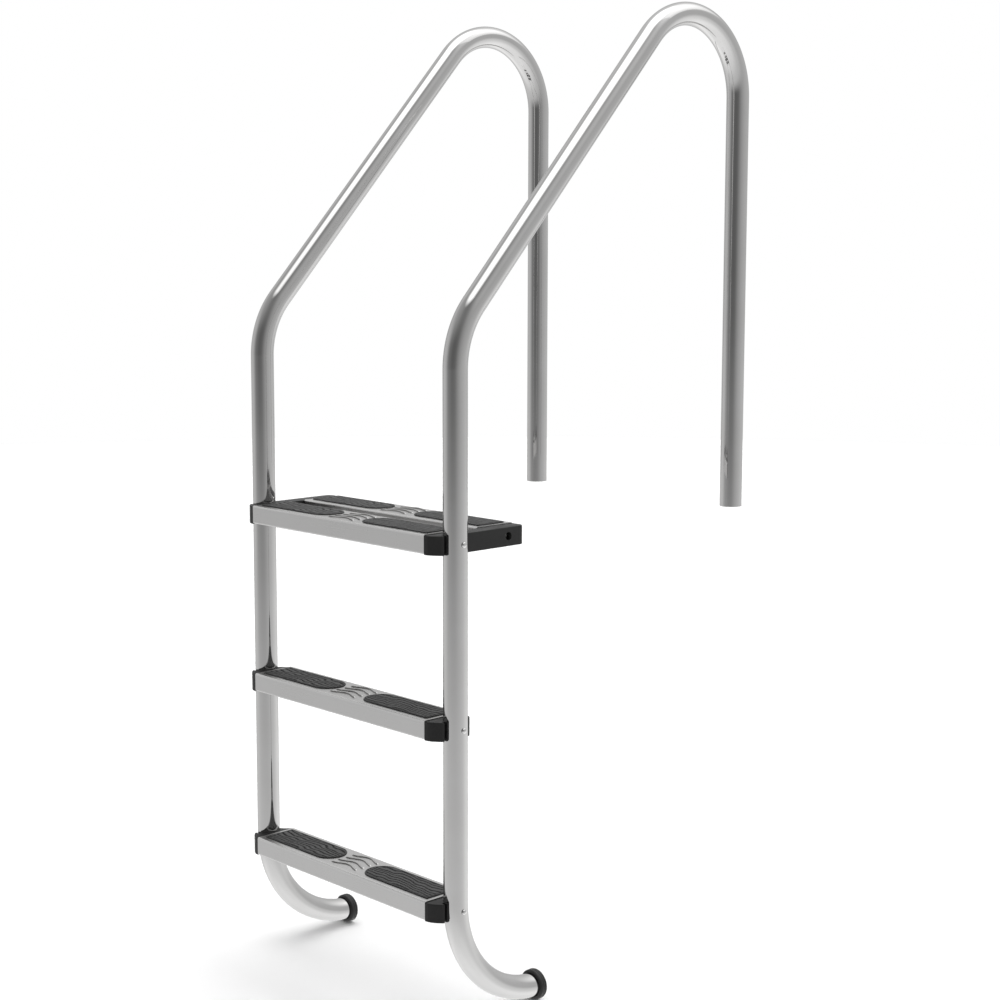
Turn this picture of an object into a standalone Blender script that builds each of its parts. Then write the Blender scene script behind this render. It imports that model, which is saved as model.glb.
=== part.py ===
"""Deck-mounted pool ladder: two bent stainless rails, a double top safety step,
two single steps, black end mouldings, non-slip pads, wall bumpers and fixings.

World frame, metres, +Z up.  X runs across the ladder (left is -X, right is +X for
somebody climbing out), +Y points from the water towards the deck, and Z = 0 is the
underside of the two wall bumpers.  The origin is the bottom centre of the whole
ladder's box.
"""
import bpy
import bmesh
import math
from mathutils import Matrix, Vector

# ------------------------------------------------------------------ driving sizes
TUBE_R = 0.0200            # 40 mm rail tube
TUBE_WALL = 0.0015
RAIL_SPACING = 0.500       # centre to centre of the two rails
REACH = 0.687              # stile axis to deck-leg axis
ARCH_R = 0.136             # centre-line radius of the bend above the deck leg
ARCH_Z = 1.5323            # height of that bend's centre
SLOPE = math.radians(47.2) # handrail below the horizontal
UPPER_BEND_R = 0.1495      # bend from the sloping handrail into the stile
LOWER_BEND_R = 0.189       # bend from the stile towards the pool wall
LOWER_BEND_END = math.radians(88.5)
LEG_END_Z = 0.7982         # open lower end of each deck leg

BUMPER_R = 0.0258
BUMPER_FRONT = 0.1735      # bumper's ends, measured from the stile axis
BUMPER_BACK = 0.1890

STEP_PITCH = 0.300
STEP_BOTTOM_Z = 0.1884     # underside of the lowest step
STEP_H = 0.0315
STEP_FRONT = -0.0442       # front face, measured from the stile axis
STEP_DEPTH = 0.0820
REAR_STEP_FRONT = 0.0700   # second channel of the double top step
STEP_HALF = 0.2245         # half the length of a steel channel
SHEET = 0.0012             # folded sheet
FOLD_R = 0.0026            # outside fold radius
LIP = 0.0080               # return lips under the channel

PAD_IN, PAD_OUT = 0.0405, 0.2165
PAD_FRONT = 0.0117         # pad edge behind the channel's front face
PAD_WIDTH = 0.0600
PAD_PROUD = 0.0018
PAD_DEEP = 0.0045
PAD_FLANGE = 0.0020

CAP_OUT = 0.2535           # outermost plane of the black mouldings
CAP_DROP = 0.0010          # moulding hangs this far under the channel
CAP_LOW = 0.0012           # and stays this far under its top
TONGUE_IN = 0.2045
TONGUE_TOP = 0.0058

SCREW_Z = 0.0155           # fixing height above a step's underside
SHANK_R = 0.0030
HEAD_R = 0.00475
NUT_AF = 0.0100
NUT_T = 0.0050
NUT_X = 0.2120
REAR_SCREW_Y = 0.1145
SADDLE_T = 0.0018          # thin saddle left on the rail behind a moulding's nose
SLOT_IN = 0.2461
SLOT_FRONT = 0.0174
RECESS_R = 0.0066
RECESS_DEPTH = 0.0100

GAP = 0.0003
SIDES_RES = 6              # curve bevel resolution of the rails (16 sides)
ARC_STEP = math.radians(10)

# The stile plane's Y puts the origin at the middle of the ladder's depth.
STILE_Y = -(REACH + TUBE_R + STEP_FRONT) / 2.0
AXIS_Z = BUMPER_R

# ------------------------------------------------------------------ clean start
for o in list(bpy.data.objects):
    bpy.data.objects.remove(o, do_unlink=True)
for c in list(bpy.data.collections):
    bpy.data.collections.remove(c)

PARTS = bpy.data.collections.new("pool_ladder")
CUTTERS = bpy.data.collections.new("cutters")
bpy.context.scene.collection.children.link(PARTS)
bpy.context.scene.collection.children.link(CUTTERS)


# ------------------------------------------------------------------ helpers
def material(name, colour, roughness, metallic):
    m = bpy.data.materials.new(name)
    m.use_nodes = True
    b = m.node_tree.nodes["Principled BSDF"]
    b.inputs["Base Color"].default_value = (*colour, 1.0)
    b.inputs["Roughness"].default_value = roughness
    b.inputs["Metallic"].default_value = metallic
    m.diffuse_color = (*colour, 1.0)
    return m


def place(obj, mat):
    """Finished part: own material, smooth where round, in the ladder's collection."""
    PARTS.objects.link(obj)
    obj.data.materials.clear()
    obj.data.materials.append(mat)
    obj.data.shade_smooth()
    obj.data.set_sharp_from_angle(angle=math.radians(35))
    return obj


def as_cutter(obj):
    CUTTERS.objects.link(obj)
    obj.hide_render = True
    obj.display_type = 'WIRE'
    return obj


def curve_to_mesh(curve_obj, name):
    """Evaluate a curve object, weld its caps and return a mesh object in its place."""
    bpy.context.scene.collection.objects.link(curve_obj)
    bpy.context.view_layer.update()
    deps = bpy.context.evaluated_depsgraph_get()
    mesh = bpy.data.meshes.new_from_object(curve_obj.evaluated_get(deps))
    matrix = curve_obj.matrix_world.copy()
    bpy.context.scene.collection.objects.unlink(curve_obj)
    bpy.data.objects.remove(curve_obj, do_unlink=True)
    bm = bmesh.new()
    bm.from_mesh(mesh)
    bmesh.ops.remove_doubles(bm, verts=bm.verts, dist=1e-6)
    bmesh.ops.recalc_face_normals(bm, faces=bm.faces)
    bm.to_mesh(mesh)
    bm.free()
    mesh.name = name
    obj = bpy.data.objects.new(name, mesh)
    obj.matrix_world = matrix
    return obj


def tube(name, points, radius, caps, res=SIDES_RES):
    cu = bpy.data.curves.new(name + "_line", 'CURVE')
    cu.dimensions = '3D'
    cu.bevel_depth = radius
    cu.bevel_resolution = res
    cu.use_fill_caps = caps
    cu.twist_mode = 'MINIMUM'
    sp = cu.splines.new('POLY')
    sp.points.add(len(points) - 1)
    for p, co in zip(sp.points, points):
        p.co = (*co, 1.0)
    return curve_to_mesh(bpy.data.objects.new(name + "_line", cu), name)


def prism(name, loops, half, matrix):
    """Flat outline (list of closed loops of 2D points), extruded +-half along local Z."""
    cu = bpy.data.curves.new(name + "_outline", 'CURVE')
    cu.dimensions = '2D'
    cu.fill_mode = 'BOTH'
    cu.extrude = half
    for loop in loops:
        sp = cu.splines.new('POLY')
        sp.points.add(len(loop) - 1)
        for p, co in zip(sp.points, loop):
            p.co = (co[0], co[1], 0.0, 1.0)
        sp.use_cyclic_u = True
    obj = bpy.data.objects.new(name + "_outline", cu)
    obj.matrix_world = matrix
    out = curve_to_mesh(obj, name)
    return out


def upright(z_low, z_high):
    """Outline in X, Y; extruded between two heights."""
    return Matrix.Translation((0, 0, (z_low + z_high) / 2)), (z_high - z_low) / 2


def across(x_mid, y=0.0, z=0.0):
    """Outline's first axis is world Y, second is world Z; extruded along world X."""
    rot = Matrix(((0, 0, 1, 0), (1, 0, 0, 0), (0, 1, 0, 0), (0, 0, 0, 1)))
    return Matrix.Translation((x_mid, y, z)) @ rot


def boolean(obj, cutter, op):
    m = obj.modifiers.new(op.lower() + "_" + cutter.name, 'BOOLEAN')
    m.operation = op
    m.solver = 'EXACT'
    m.object = cutter
    return m


def cylinder_x(name, r, x0, x1, y, z, sides=16):
    bm = bmesh.new()
    bmesh.ops.create_cone(bm, cap_ends=True, cap_tris=False, segments=sides,
                          radius1=r, radius2=r, depth=abs(x1 - x0))
    me = bpy.data.meshes.new(name)
    bm.to_mesh(me)
    bm.free()
    o = bpy.data.objects.new(name, me)
    o.matrix_world = Matrix.Translation(((x0 + x1) / 2, y, z)) @ Matrix.Rotation(math.pi / 2, 4, 'Y')
    return as_cutter(o)


def box(name, low, high):
    bm = bmesh.new()
    bmesh.ops.create_cube(bm, size=1.0)
    size = [h - l for l, h in zip(low, high)]
    mid = [(h + l) / 2 for l, h in zip(low, high)]
    for v in bm.verts:
        v.co = Vector([v.co[i] * size[i] + mid[i] for i in range(3)])
    me = bpy.data.meshes.new(name)
    bm.to_mesh(me)
    bm.free()
    return as_cutter(bpy.data.objects.new(name, me))


def turned(name, profile, matrix, steps=12):
    """Profile of (radius, height) from top to bottom, spun about local Z."""
    me = bpy.data.meshes.new(name)
    me.from_pydata([(r, 0.0, z) for r, z in profile],
                   [(i, i + 1) for i in range(len(profile) - 1)], [])
    o = bpy.data.objects.new(name, me)
    o.matrix_world = matrix
    m = o.modifiers.new("spin", 'SCREW')
    m.axis = 'Z'
    m.steps = steps
    m.render_steps = steps
    m.use_merge_vertices = True
    m.merge_threshold = 1e-6
    return o


def arc(cx, cy, r, a0, a1, n):
    return [(cx + r * math.cos(a0 + (a1 - a0) * i / n),
             cy + r * math.sin(a0 + (a1 - a0) * i / n)) for i in range(n + 1)]


# ------------------------------------------------------------------ the rail's line
def rail_line(end_angle=LOWER_BEND_END, leg_end=LEG_END_Z):
    """(Y, Z) points from the deck leg's open end, over the arch, down the slope and
    the stile, and round the lower bend towards the pool wall."""
    pts = []

    def line_to(y, z):
        pts.append((y, z))

    def bend(cy, cz, r, a0, a1):
        n = max(2, math.ceil(abs(a1 - a0) / ARC_STEP))
        for y, z in arc(cy, cz, r, a0, a1, n)[1:]:
            pts.append((y, z))

    leg_y = STILE_Y + REACH
    pts.append((leg_y, leg_end))
    line_to(leg_y, ARCH_Z)
    turn = math.pi / 2 + SLOPE
    bend(leg_y - ARCH_R, ARCH_Z, ARCH_R, 0.0, turn)
    # sloping straight, down to the tangent point of the upper bend
    y1, z1 = pts[-1]
    y2 = STILE_Y + UPPER_BEND_R + UPPER_BEND_R * math.cos(turn)
    z2 = z1 - (y1 - y2) * math.tan(SLOPE)
    line_to(y2, z2)
    bend_z = z2 - UPPER_BEND_R * math.sin(turn)
    bend(STILE_Y + UPPER_BEND_R, bend_z, UPPER_BEND_R, turn, math.pi)
    lower_z = AXIS_Z + LOWER_BEND_R
    line_to(STILE_Y, lower_z)
    bend(STILE_Y + LOWER_BEND_R, lower_z, LOWER_BEND_R, math.pi, math.pi + end_angle)
    return pts


def rail_points(x, **kw):
    return [(x, y, z) for y, z in rail_line(**kw)]


# ------------------------------------------------------------------ outlines
def channel_section():
    """Folded channel, open underneath with two return lips; (depth, height) from its
    front face and underside."""
    def side(inset):
        r = max(FOLD_R - inset, 0.0004)
        a, b = inset, STEP_DEPTH - inset
        lo, hi = inset, STEP_H - inset
        n = 3
        pts = [(LIP, lo)]
        pts += arc(a + r, lo + r, r, -math.pi / 2, -math.pi, n)
        pts += arc(a + r, hi - r, r, math.pi, math.pi / 2, n)
        pts += arc(b - r, hi - r, r, math.pi / 2, 0.0, n)
        pts += arc(b - r, lo + r, r, 0.0, -math.pi / 2, n)
        pts += [(STEP_DEPTH - LIP, lo)]
        return pts
    return side(0.0) + list(reversed(side(SHEET)))


def pad_outline(sign, y_front, grow=0.0):
    """Pad: square outer end, half-round inner end."""
    r = PAD_WIDTH / 2 + grow
    yc = y_front + PAD_FRONT + PAD_WIDTH / 2
    xc = PAD_IN + PAD_WIDTH / 2
    xo = PAD_OUT + grow
    pts = [(xo, yc - r), (xo, yc + r)] + arc(xc, yc, r, math.pi / 2, 3 * math.pi / 2, 10)
    return [(sign * x, y) for x, y in pts]


def cap_front():
    """Curved nose of a moulding, from the channel's end round to the rail."""
    f = STILE_Y + STEP_FRONT
    return [(STEP_HALF + GAP, f), (0.2320, f + 0.0007), (0.2390, f + 0.0037),
            (0.2455, f + 0.0085), (0.2515, f + 0.0137), (CAP_OUT, f + 0.0170),
            (CAP_OUT, STILE_Y - 0.004)]


def cap_outline(sign, long_horn):
    b = STILE_Y + STEP_FRONT + STEP_DEPTH
    pts = cap_front()
    if long_horn:
        pts += [(CAP_OUT, STILE_Y + 0.0275), (0.2500, STILE_Y + 0.0310), (0.2340, b - 0.0012), (STEP_HALF + GAP, b)]
    else:
        pts += [(0.2460, STILE_Y + 0.004), (0.2460, STILE_Y + 0.0180), (0.2290, b - 0.0020), (STEP_HALF + GAP, b)]
    return [(sign * x, y) for x, y in pts]


def saddle_slot():
    """Slot between a moulding's nose and the thin saddle that it keeps on the rail."""
    r = TUBE_R + SADDLE_T
    mid = RAIL_SPACING / 2
    out = CAP_OUT + 0.004
    f = STILE_Y + STEP_FRONT + SLOT_FRONT
    return [(out, f), (SLOT_IN, f)] + arc(mid, STILE_Y, r, -math.acos((SLOT_IN - mid) / r), -math.acos((out - mid) / r), 4)


def plate_outline(sign):
    e = STILE_Y + REAR_STEP_FRONT + STEP_DEPTH
    pts = cap_front()
    pts += [(CAP_OUT, e - 0.0120), (0.2500, e - 0.0052), (0.2440, e - 0.0010), (0.2400, e), (STEP_HALF + GAP, e)]
    return [(sign * x, y) for x, y in pts]


# ------------------------------------------------------------------ materials
polished = dict(colour=(0.62, 0.62, 0.61), roughness=0.10, metallic=1.0)
satin = dict(colour=(0.66, 0.66, 0.65), roughness=0.32, metallic=1.0)
black = dict(colour=(0.022, 0.022, 0.023), roughness=0.45, metallic=0.0)
rubber = dict(colour=(0.055, 0.055, 0.057), roughness=0.75, metallic=0.0)
bolt = dict(colour=(0.70, 0.70, 0.69), roughness=0.18, metallic=1.0)

step_z = {"bottom": STEP_BOTTOM_Z, "middle": STEP_BOTTOM_Z + STEP_PITCH, "top": STEP_BOTTOM_Z + 2 * STEP_PITCH}
sides = {"left": -1, "right": 1}
mid_x = RAIL_SPACING / 2

# clearance around each stile, which every moulding is shaped to
clearance = {s: as_cutter(tube("clearance_" + s, rail_points(k * mid_x), TUBE_R + GAP, True))
             for s, k in sides.items()}

# ------------------------------------------------------------------ rails and bumpers
for s, k in sides.items():
    rail = tube("rail_" + s, rail_points(k * mid_x), TUBE_R, False)
    wall = rail.modifiers.new("wall", 'SOLIDIFY')
    wall.thickness = TUBE_WALL
    wall.offset = -1.0
    wall.use_rim = True
    for label, z in step_z.items():
        boolean(rail, cylinder_x("hole_%s_%s" % (label, s), SHANK_R + GAP, k * (mid_x - 0.03), k * (mid_x + 0.03),
                                 STILE_Y, z + SCREW_Z, 12), 'DIFFERENCE')
    place(rail, material("rail_%s_steel" % s, **polished))

    length = BUMPER_BACK - BUMPER_FRONT
    edge = 0.0030
    prof = [(0.0, length)]
    prof += [(BUMPER_R - edge + edge * math.sin(t), length - edge + edge * math.cos(t))
             for t in (0.0, math.pi / 6, math.pi / 3, math.pi / 2)]
    prof += [(BUMPER_R, 0.0034), (BUMPER_R - 0.0010, 0.0010), (BUMPER_R - 0.0034, 0.0), (0.0, 0.0)]
    turn_to_y = Matrix.Translation((k * mid_x, STILE_Y + BUMPER_FRONT, AXIS_Z)) @ Matrix.Rotation(-math.pi / 2, 4, 'X')
    bumper = turned("bumper_" + s, prof, turn_to_y, 32)
    bore = as_cutter(tube("bumper_bore_" + s, rail_points(k * mid_x, end_angle=LOWER_BEND_END + GAP / LOWER_BEND_R),
                          TUBE_R + GAP, True))
    boolean(bumper, bore, 'DIFFERENCE')
    place(bumper, material("bumper_%s_rubber" % s, **black))

# ------------------------------------------------------------------ steps and pads
channels = [("top_front", step_z["top"], STEP_FRONT), ("top_rear", step_z["top"], REAR_STEP_FRONT),
            ("middle", step_z["middle"], STEP_FRONT), ("bottom", step_z["bottom"], STEP_FRONT)]
for label, z, front in channels:
    y = STILE_Y + front
    top = z + STEP_H
    step = prism("step_" + label, [channel_section()], STEP_HALF, across(0.0, y, z))
    for s, k in sides.items():
        mtx, half = upright(top - 0.004, top + 0.004)
        opening = as_cutter(prism("pad_opening_%s_%s" % (label, s), [pad_outline(k, y, GAP)], half, mtx))
        boolean(step, opening, 'DIFFERENCE')

        mtx, half = upright(top - PAD_DEEP, top + PAD_PROUD)
        pad = prism("pad_%s_%s" % (label, s), [pad_outline(k, y)], half, mtx)
        mtx, half = upright(top - SHEET - GAP - 0.0020, top - SHEET - GAP)
        flange = as_cutter(prism("pad_flange_%s_%s" % (label, s), [pad_outline(k, y, PAD_FLANGE)], half, mtx))
        boolean(pad, flange, 'UNION')
        place(pad, material("pad_%s_%s_rubber" % (label, s), **rubber))
    place(step, material("step_%s_steel" % label, **satin))


# ------------------------------------------------------------------ end mouldings
def moulding(name, outline, k, s, z, fronts, fixings):
    """Body outside the channel, a tongue inside each channel, a saddle for the rail,
    and for each fixing a bore and a nut pocket open at the tongue's inner end."""
    mtx, half = upright(z - CAP_DROP, z + STEP_H - CAP_LOW)
    body = prism(name, [outline], half, mtx)
    for i, front in enumerate(fronts):
        y0 = STILE_Y + front + SHEET + 0.0008
        y1 = STILE_Y + front + STEP_DEPTH - SHEET - 0.0008
        xs = sorted((k * TONGUE_IN, k * (STEP_HALF + 0.004)))
        tongue = box("%s_tongue_%d" % (name, i), (xs[0], y0, z + SHEET + 0.0008), (xs[1], y1, z + STEP_H - TONGUE_TOP))
        boolean(body, tongue, 'UNION')
    boolean(body, clearance[s], 'DIFFERENCE')
    mtx, half = upright(z - 0.01, z + STEP_H + 0.01)
    slot = as_cutter(prism(name + "_slot", [[(k * x, y) for x, y in saddle_slot()]], half, mtx))
    boolean(body, slot, 'DIFFERENCE')
    for i, (fy, x_out) in enumerate(fixings):
        zc = z + SCREW_Z
        boolean(body, cylinder_x("%s_bore_%d" % (name, i), SHANK_R + GAP, k * 0.19, k * 0.27, fy, zc, 12), 'DIFFERENCE')
        hw = NUT_AF / 2 + GAP
        xs = sorted((k * (TONGUE_IN - 0.01), k * (NUT_X + NUT_T + GAP)))
        corner = NUT_AF / math.sqrt(3) + GAP
        boolean(body, box("%s_pocket_%d" % (name, i), (xs[0], fy - hw, zc - corner), (xs[1], fy + hw, zc + corner)),
                'DIFFERENCE')
        if x_out:
            boolean(body, cylinder_x("%s_recess_%d" % (name, i), RECESS_R, k * (CAP_OUT - RECESS_DEPTH),
                                     k * (CAP_OUT + 0.01), fy, zc, 20), 'DIFFERENCE')
    return place(body, material(name + "_plastic", **black))


for s, k in sides.items():
    moulding("side_plate_" + s, plate_outline(k), k, s, step_z["top"], (STEP_FRONT, REAR_STEP_FRONT),
             ((STILE_Y, False), (STILE_Y + REAR_SCREW_Y, True)))
    for label in ("middle", "bottom"):
        moulding("end_cap_%s_%s" % (label, s), cap_outline(k, label == "middle" and s == "right"), k, s,
                 step_z[label], (STEP_FRONT,), ((STILE_Y, False),))


# ------------------------------------------------------------------ fixings
def screw_profile(head_r, head_h, shank_r, length):
    dome = [(head_r * math.sin(t), 0.0006 + (head_h - 0.0006) * math.cos(t))
            for t in [i * math.pi / 8 for i in range(0, 5)]]
    return dome + [(head_r, 0.0), (shank_r, 0.0), (shank_r, -length + 0.0008), (shank_r - 0.0008, -length), (0.0, -length)]


def nut(name, x, y, z):
    hexagon = arc(0, 0, NUT_AF / math.sqrt(3), math.pi / 2, math.pi / 2 + 2 * math.pi, 6)[:-1]
    hole = arc(0, 0, SHANK_R + GAP, 0, 2 * math.pi, 12)[:-1]
    o = prism(name, [hexagon, hole], NUT_T / 2, across(x, y, z))
    return place(o, material(name + "_steel", **bolt))


def face_x(x, y, z, k):
    return Matrix.Translation((x, y, z)) @ Matrix.Rotation(k * math.pi / 2, 4, 'Y')


for s, k in sides.items():
    nut_mid = k * (NUT_X + NUT_T / 2)
    for label, z in step_z.items():
        base = mid_x + TUBE_R + GAP
        o = turned("step_screw_%s_%s" % (label, s), screw_profile(HEAD_R, 0.0030, SHANK_R, base - NUT_X + 0.003),
                   face_x(k * base, STILE_Y, z + SCREW_Z, k))
        place(o, material("step_screw_%s_%s_steel" % (label, s), **bolt))
        nut("step_nut_%s_%s" % (label, s), nut_mid, STILE_Y, z + SCREW_Z)
    base = CAP_OUT - RECESS_DEPTH + GAP
    z = step_z["top"] + SCREW_Z
    o = turned("rear_step_screw_" + s, screw_profile(0.0055, 0.0034, SHANK_R, base - NUT_X + 0.003),
               face_x(k * base, STILE_Y + REAR_SCREW_Y, z, k))
    place(o, material("rear_step_screw_%s_steel" % s, **bolt))
    nut("rear_step_nut_" + s, nut_mid, STILE_Y + REAR_SCREW_Y, z)
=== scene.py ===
"""Looks for the pool ladder: polished hollow rails, folded satin channels with pressed
ripple bars, ribbed non-slip pads, rounded black end mouldings, bumpers and fixings.

Metres, +Z up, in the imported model's frame.  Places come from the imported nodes' boxes.
"""
import bpy
import math
import numpy as np
from mathutils import Matrix, Vector


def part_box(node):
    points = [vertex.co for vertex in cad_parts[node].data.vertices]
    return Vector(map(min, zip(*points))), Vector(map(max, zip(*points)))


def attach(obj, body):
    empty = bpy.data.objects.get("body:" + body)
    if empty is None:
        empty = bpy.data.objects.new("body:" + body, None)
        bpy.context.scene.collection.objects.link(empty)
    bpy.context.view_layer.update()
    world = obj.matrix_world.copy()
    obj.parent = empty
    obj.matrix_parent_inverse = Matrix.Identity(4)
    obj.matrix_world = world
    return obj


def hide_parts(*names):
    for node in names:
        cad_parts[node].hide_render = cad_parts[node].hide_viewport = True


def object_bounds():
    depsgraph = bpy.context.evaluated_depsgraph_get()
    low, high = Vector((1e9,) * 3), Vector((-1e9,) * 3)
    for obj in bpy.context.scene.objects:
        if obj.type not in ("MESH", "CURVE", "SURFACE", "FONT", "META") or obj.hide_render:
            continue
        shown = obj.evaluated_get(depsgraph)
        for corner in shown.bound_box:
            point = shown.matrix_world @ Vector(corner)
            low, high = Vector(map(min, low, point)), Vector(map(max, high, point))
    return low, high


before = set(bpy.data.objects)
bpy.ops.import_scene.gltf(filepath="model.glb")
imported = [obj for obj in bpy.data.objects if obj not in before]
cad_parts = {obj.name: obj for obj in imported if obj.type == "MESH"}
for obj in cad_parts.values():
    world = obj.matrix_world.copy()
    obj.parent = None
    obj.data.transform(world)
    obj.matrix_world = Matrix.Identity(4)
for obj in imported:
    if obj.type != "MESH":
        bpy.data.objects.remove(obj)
cad_lo, cad_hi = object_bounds()

# ------------------------------------------------------------------ places and sizes
SIDES = {"left": -1, "right": 1}
STEPS = ("top", "middle", "bottom")

_lo, _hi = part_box("rail_right")
RAIL_X = (_lo.x + _hi.x) / 2            # 0.250
TUBE_R = (_hi.x - _lo.x) / 2            # 0.020
LEG_Y = _hi.y - TUBE_R                  # deck leg's axis
_lo, _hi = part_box("step_middle")
STEP_HALF = _hi.x                       # 0.2245
STEP_H = _hi.z - _lo.z                  # 0.0315
STEP_DEPTH = _hi.y - _lo.y              # 0.082
STILE_Y = _lo.y + 0.0442                # stile's axis, behind the steps' front faces
STEP_Z = {s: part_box("step_" + ("top_front" if s == "top" else s))[0].z for s in STEPS}
FRONT_Y = _lo.y
REAR_FRONT_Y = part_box("step_top_rear")[0].y
CHANNELS = {"top_front": (STEP_Z["top"], FRONT_Y), "top_rear": (STEP_Z["top"], REAR_FRONT_Y),
            "middle": (STEP_Z["middle"], FRONT_Y), "bottom": (STEP_Z["bottom"], FRONT_Y)}
_lo, _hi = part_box("bumper_right")
BUMPER_R = (_hi.x - _lo.x) / 2
BUMPER_Y0, BUMPER_Y1 = _lo.y, _hi.y
AXIS_Z = _lo.z + BUMPER_R

WALL = 0.0015
ARCH_R, ARCH_Z = 0.136, 1.5323
SLOPE = math.radians(47.2)
UPPER_BEND_R = 0.1495
LOWER_BEND_R = 0.189
LOWER_BEND_END = math.radians(88.5)
LEG_END_Z = 0.7982
SHEET = 0.0012
FOLD_R = 0.0026
LIP = 0.0080
PAD_IN, PAD_OUT, PAD_FRONT, PAD_WIDTH = 0.0405, 0.2165, 0.0117, 0.0600
CAP_OUT = 0.2535
CAP_DROP, CAP_LOW = 0.0010, 0.0012
TONGUE_IN, TONGUE_TOP = 0.2045, 0.0058
SCREW_Z = 0.0155
SHANK_R, NUT_AF, NUT_T, NUT_X = 0.0030, 0.0100, 0.0050, 0.2120
REAR_SCREW_Y = 0.1145
RECESS_R, RECESS_DEPTH = 0.0066, 0.0100
GAP = 0.0003


# ------------------------------------------------------------------ mesh helpers
def new_object(name, verts, faces, smooth_angle=30.0):
    me = bpy.data.meshes.new(name)
    me.from_pydata([tuple(v) for v in verts], [], faces)
    me.validate()
    o = bpy.data.objects.new(name, me)
    bpy.context.scene.collection.objects.link(o)
    if smooth_angle:
        me.shade_smooth()
        me.set_sharp_from_angle(angle=math.radians(smooth_angle))
    return o


def ring_faces(n_rings, n, closed=True):
    """Quads between successive rings of n points; closed joins the last ring to the first."""
    faces = []
    for r in range(n_rings if closed else n_rings - 1):
        a, b = r * n, ((r + 1) % n_rings) * n
        for k in range(n):
            k2 = (k + 1) % n
            faces.append((a + k, a + k2, b + k2, b + k))
    return faces


def fix_normals(o):
    import bmesh
    bm = bmesh.new()
    bm.from_mesh(o.data)
    bmesh.ops.remove_doubles(bm, verts=bm.verts, dist=1e-7)
    bmesh.ops.recalc_face_normals(bm, faces=bm.faces)
    bm.to_mesh(o.data)
    bm.free()
    return o


def cut(o, cutters, op='DIFFERENCE', smooth_angle=30.0):
    """Exact Boolean of o with each cutter, applied; the cutters are then removed."""
    for c in cutters:
        m = o.modifiers.new("cut", 'BOOLEAN')
        m.operation = op
        m.solver = 'EXACT'
        m.object = c
    bpy.context.view_layer.update()
    dg = bpy.context.evaluated_depsgraph_get()
    me = bpy.data.meshes.new_from_object(o.evaluated_get(dg))
    o.modifiers.clear()
    old = o.data
    o.data = me
    me.name = old.name
    bpy.data.meshes.remove(old)
    for c in cutters:
        m = c.data
        bpy.data.objects.remove(c, do_unlink=True)
        bpy.data.meshes.remove(m)
    if smooth_angle:
        me.shade_smooth()
        me.set_sharp_from_angle(angle=math.radians(smooth_angle))
    return o


def arc_pts(cx, cy, r, a0, a1, n):
    return [(cx + r * math.cos(a0 + (a1 - a0) * i / n), cy + r * math.sin(a0 + (a1 - a0) * i / n))
            for i in range(n + 1)]


# ------------------------------------------------------------------ the rail's line
def rail_line(arc_step=math.radians(2.5), extra=()):
    """Samples (y, z, ty, tz, s) along the rail: from the deck leg's open end over the
    arch, down the slope and the stile, and round the lower bend to the pool wall.
    extra holds heights on the stile that get samples of their own."""
    turn = math.pi / 2 + SLOPE
    out = []

    def add(y, z, ty, tz):
        if out and math.hypot(y - out[-1][0], z - out[-1][1]) < 1e-6:
            return
        s = out[-1][4] + math.hypot(y - out[-1][0], z - out[-1][1]) if out else 0.0
        out.append((y, z, ty, tz, s))

    def straight(y0, z0, y1, z1, n):
        d = math.hypot(y1 - y0, z1 - z0)
        for i in range(n + 1):
            f = i / n
            add(y0 + (y1 - y0) * f, z0 + (z1 - z0) * f, (y1 - y0) / d, (z1 - z0) / d)

    def bend(cy, cz, r, a0, a1):
        n = math.ceil(abs(a1 - a0) / arc_step)
        for i in range(n + 1):
            a = a0 + (a1 - a0) * i / n
            add(cy + r * math.cos(a), cz + r * math.sin(a), -math.sin(a), math.cos(a))

    straight(LEG_Y, LEG_END_Z, LEG_Y, ARCH_Z, 6)
    bend(LEG_Y - ARCH_R, ARCH_Z, ARCH_R, 0.0, turn)
    y1, z1 = out[-1][:2]
    y2 = STILE_Y + UPPER_BEND_R + UPPER_BEND_R * math.cos(turn)
    z2 = z1 - (y1 - y2) * math.tan(SLOPE)
    straight(y1, z1, y2, z2, 6)
    bz = z2 - UPPER_BEND_R * math.sin(turn)
    bend(STILE_Y + UPPER_BEND_R, bz, UPPER_BEND_R, turn, math.pi)
    lower_z = AXIS_Z + LOWER_BEND_R
    stops = sorted({bz, lower_z, *[z for z in extra if lower_z < z < bz]}, reverse=True)
    for a, b in zip(stops, stops[1:]):
        straight(STILE_Y, a, STILE_Y, b, 1)
    bend(STILE_Y + LOWER_BEND_R, lower_z, LOWER_BEND_R, math.pi, math.pi + LOWER_BEND_END)
    return out


def tube_rings(x, line, radii, n):
    """One ring of n points for each (sample index, radius, shift along the tangent)."""
    th = np.arange(n) * 2 * math.pi / n
    rings = []
    for i, r, d in radii:
        y, z, ty, tz, s = line[i]
        c = np.array([x, y + ty * d, z + tz * d])
        rings.append(c + r * (np.cos(th)[:, None] * np.array([1.0, 0, 0]) + np.sin(th)[:, None] * np.array([0, -tz, ty])))
    return rings


def solid_tube(name, x, line, r, n=64):
    rings = tube_rings(x, line, [(i, r, 0.0) for i in range(len(line))], n)
    faces = ring_faces(len(rings), n, closed=False)
    faces += [tuple(range(n - 1, -1, -1)), tuple((len(rings) - 1) * n + k for k in range(n))]
    o = new_object(name, np.vstack(rings), faces)
    return fix_normals(o)


def cylinder_x(name, r, x0, x1, y, z, n=32):
    """Cutter along X."""
    th = np.arange(n) * 2 * math.pi / n
    xs = sorted((x0, x1))
    v = [(x, y + r * math.cos(t), z + r * math.sin(t)) for x in xs for t in th]
    f = ring_faces(2, n, closed=False) + [tuple(range(n - 1, -1, -1)), tuple(range(n, 2 * n))]
    return fix_normals(new_object(name, v, f))


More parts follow.
